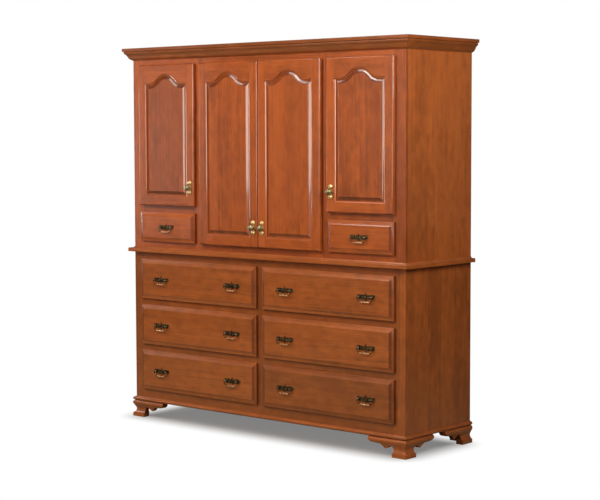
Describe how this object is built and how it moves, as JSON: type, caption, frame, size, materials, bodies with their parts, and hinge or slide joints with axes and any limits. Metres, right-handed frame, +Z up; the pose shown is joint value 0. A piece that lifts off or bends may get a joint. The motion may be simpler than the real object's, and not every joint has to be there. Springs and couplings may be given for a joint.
{
  "type": "mule chest",
  "caption": "Tall two-part wooden chest with wide drawers below, arched panel doors and small drawers above, brass bail pulls and scrolled bracket feet.",
  "frame": {"origin": "centre of the bounding box on the floor, under the middle of the chest", "axes": "+X to the right along the width as seen from the front, +Y towards the back, so the doors and drawers face -Y, +Z up"},
  "size_m": [1.924, 0.5914, 2],
  "materials": {
    "cherry": "stained cherry under a clear gloss lacquer",
    "secondary_wood": "pale maple and birch plywood with a thin clear satin coat",
    "brass": "cast antique brass, darkened in the hollows and rubbed bright on the high places",
    "steel": "nickel plated pressed steel"
  },
  "bodies": {
    "case": {"base_sides": "cherry", "base_face_frame": "cherry", "base_web_frames": "secondary_wood", "bracket_feet": "cherry", "upper_sides": "cherry", "upper_face_frame": "cherry", "upper_shelves": "cherry", "back_panels": "secondary_wood", "mouldings": "cherry", "hinge_arms": "steel"},
    "outer_left_door": {"outer_left_door_frame": "cherry", "outer_left_door_panel": "cherry", "outer_left_door_fittings": "brass"},
    "centre_left_door": {"centre_left_door_frame": "cherry", "centre_left_door_panel": "cherry", "centre_left_door_fittings": "brass"},
    "centre_right_door": {"centre_right_door_frame": "cherry", "centre_right_door_panel": "cherry", "centre_right_door_fittings": "brass"},
    "outer_right_door": {"outer_right_door_frame": "cherry", "outer_right_door_panel": "cherry", "outer_right_door_fittings": "brass"},
    "top_left_drawer": {"top_left_drawer_front": "cherry", "top_left_drawer_box": "secondary_wood", "top_left_drawer_pull_plates": "brass"},
    "top_left_drawer_left_bail": {"top_left_drawer_left_bail": "brass"},
    "top_left_drawer_right_bail": {"top_left_drawer_right_bail": "brass"},
    "middle_left_drawer": {"middle_left_drawer_front": "cherry", "middle_left_drawer_box": "secondary_wood", "middle_left_drawer_pull_plates": "brass"},
    "middle_left_drawer_left_bail": {"middle_left_drawer_left_bail": "brass"},
    "middle_left_drawer_right_bail": {"middle_left_drawer_right_bail": "brass"},
    "bottom_left_drawer": {"bottom_left_drawer_front": "cherry", "bottom_left_drawer_box": "secondary_wood", "bottom_left_drawer_pull_plates": "brass"},
    "bottom_left_drawer_left_bail": {"bottom_left_drawer_left_bail": "brass"},
    "bottom_left_drawer_right_bail": {"bottom_left_drawer_right_bail": "brass"},
    "top_right_drawer": {"top_right_drawer_front": "cherry", "top_right_drawer_box": "secondary_wood", "top_right_drawer_pull_plates": "brass"},
    "top_right_drawer_left_bail": {"top_right_drawer_left_bail": "brass"},
    "top_right_drawer_right_bail": {"top_right_drawer_right_bail": "brass"},
    "middle_right_drawer": {"middle_right_drawer_front": "cherry", "middle_right_drawer_box": "secondary_wood", "middle_right_drawer_pull_plates": "brass"},
    "middle_right_drawer_left_bail": {"middle_right_drawer_left_bail": "brass"},
    "middle_right_drawer_right_bail": {"middle_right_drawer_right_bail": "brass"},
    "bottom_right_drawer": {"bottom_right_drawer_front": "cherry", "bottom_right_drawer_box": "secondary_wood", "bottom_right_drawer_pull_plates": "brass"},
    "bottom_right_drawer_left_bail": {"bottom_right_drawer_left_bail": "brass"},
    "bottom_right_drawer_right_bail": {"bottom_right_drawer_right_bail": "brass"},
    "small_left_drawer": {"small_left_drawer_front": "cherry", "small_left_drawer_box": "secondary_wood", "small_left_drawer_pull_plates": "brass"},
    "small_left_drawer_only_bail": {"small_left_drawer_only_bail": "brass"},
    "small_right_drawer": {"small_right_drawer_front": "cherry", "small_right_drawer_box": "secondary_wood", "small_right_drawer_pull_plates": "brass"},
    "small_right_drawer_only_bail": {"small_right_drawer_only_bail": "brass"}
  },
  "joints": [
    {"name": "outer_left_door_hinge", "type": "hinge", "parent": "case", "child": "outer_left_door", "pos_m": [-0.853, -0.25475, 1.534], "axis": [0, 0, -1], "range_deg": [0, 100]},
    {"name": "centre_left_door_hinge", "type": "hinge", "parent": "case", "child": "centre_left_door", "pos_m": [-0.404, -0.25475, 1.437], "axis": [0, 0, -1], "range_deg": [0, 90]},
    {"name": "centre_right_door_hinge", "type": "hinge", "parent": "case", "child": "centre_right_door", "pos_m": [0.404, -0.25475, 1.437], "axis": [0, 0, 1], "range_deg": [0, 90]},
    {"name": "outer_right_door_hinge", "type": "hinge", "parent": "case", "child": "outer_right_door", "pos_m": [0.853, -0.25475, 1.534], "axis": [0, 0, 1], "range_deg": [0, 100]},
    {"name": "top_left_drawer_slide", "type": "slide", "parent": "case", "child": "top_left_drawer", "axis": [0, -1, 0], "range_m": [0, 0.4]},
    {"name": "top_left_drawer_left_bail_swing", "type": "hinge", "parent": "top_left_drawer", "child": "top_left_drawer_left_bail", "pos_m": [-0.69749, -0.27675, 0.7605], "axis": [-1, 0, 0], "range_deg": [0, 100]},
    {"name": "top_left_drawer_right_bail_swing", "type": "hinge", "parent": "top_left_drawer", "child": "top_left_drawer_right_bail", "pos_m": [-0.18151, -0.27675, 0.7605], "axis": [-1, 0, 0], "range_deg": [0, 100]},
    {"name": "middle_left_drawer_slide", "type": "slide", "parent": "case", "child": "middle_left_drawer", "axis": [0, -1, 0], "range_m": [0, 0.4]},
    {"name": "middle_left_drawer_left_bail_swing", "type": "hinge", "parent": "middle_left_drawer", "child": "middle_left_drawer_left_bail", "pos_m": [-0.69749, -0.27675, 0.513], "axis": [-1, 0, 0], "range_deg": [0, 100]},
    {"name": "middle_left_drawer_right_bail_swing", "type": "hinge", "parent": "middle_left_drawer", "child": "middle_left_drawer_right_bail", "pos_m": [-0.18151, -0.27675, 0.513], "axis": [-1, 0, 0], "range_deg": [0, 100]},
    {"name": "bottom_left_drawer_slide", "type": "slide", "parent": "case", "child": "bottom_left_drawer", "axis": [0, -1, 0], "range_m": [0, 0.4]},
    {"name": "bottom_left_drawer_left_bail_swing", "type": "hinge", "parent": "bottom_left_drawer", "child": "bottom_left_drawer_left_bail", "pos_m": [-0.69749, -0.27675, 0.2655], "axis": [-1, 0, 0], "range_deg": [0, 100]},
    {"name": "bottom_left_drawer_right_bail_swing", "type": "hinge", "parent": "bottom_left_drawer", "child": "bottom_left_drawer_right_bail", "pos_m": [-0.18151, -0.27675, 0.2655], "axis": [-1, 0, 0], "range_deg": [0, 100]},
    {"name": "top_right_drawer_slide", "type": "slide", "parent": "case", "child": "top_right_drawer", "axis": [0, -1, 0], "range_m": [0, 0.4]},
    {"name": "top_right_drawer_left_bail_swing", "type": "hinge", "parent": "top_right_drawer", "child": "top_right_drawer_left_bail", "pos_m": [0.18151, -0.27675, 0.7605], "axis": [-1, 0, 0], "range_deg": [0, 100]},
    {"name": "top_right_drawer_right_bail_swing", "type": "hinge", "parent": "top_right_drawer", "child": "top_right_drawer_right_bail", "pos_m": [0.69749, -0.27675, 0.7605], "axis": [-1, 0, 0], "range_deg": [0, 100]},
    {"name": "middle_right_drawer_slide", "type": "slide", "parent": "case", "child": "middle_right_drawer", "axis": [0, -1, 0], "range_m": [0, 0.4]},
    {"name": "middle_right_drawer_left_bail_swing", "type": "hinge", "parent": "middle_right_drawer", "child": "middle_right_drawer_left_bail", "pos_m": [0.18151, -0.27675, 0.513], "axis": [-1, 0, 0], "range_deg": [0, 100]},
    {"name": "middle_right_drawer_right_bail_swing", "type": "hinge", "parent": "middle_right_drawer", "child": "middle_right_drawer_right_bail", "pos_m": [0.69749, -0.27675, 0.513], "axis": [-1, 0, 0], "range_deg": [0, 100]},
    {"name": "bottom_right_drawer_slide", "type": "slide", "parent": "case", "child": "bottom_right_drawer", "axis": [0, -1, 0], "range_m": [0, 0.4]},
    {"name": "bottom_right_drawer_left_bail_swing", "type": "hinge", "parent": "bottom_right_drawer", "child": "bottom_right_drawer_left_bail", "pos_m": [0.18151, -0.27675, 0.2655], "axis": [-1, 0, 0], "range_deg": [0, 100]},
    {"name": "bottom_right_drawer_right_bail_swing", "type": "hinge", "parent": "bottom_right_drawer", "child": "bottom_right_drawer_right_bail", "pos_m": [0.69749, -0.27675, 0.2655], "axis": [-1, 0, 0], "range_deg": [0, 100]},
    {"name": "small_left_drawer_slide", "type": "slide", "parent": "case", "child": "small_left_drawer", "axis": [0, -1, 0], "range_m": [0, 0.3]},
    {"name": "small_left_drawer_only_bail_swing", "type": "hinge", "parent": "small_left_drawer", "child": "small_left_drawer_only_bail", "pos_m": [-0.655, -0.27675, 1.045], "axis": [-1, 0, 0], "range_deg": [0, 100]},
    {"name": "small_right_drawer_slide", "type": "slide", "parent": "case", "child": "small_right_drawer", "axis": [0, -1, 0], "range_m": [0, 0.3]},
    {"name": "small_right_drawer_only_bail_swing", "type": "hinge", "parent": "small_right_drawer", "child": "small_right_drawer_only_bail", "pos_m": [0.655, -0.27675, 1.045], "axis": [-1, 0, 0], "range_deg": [0, 100]}
  ]
}
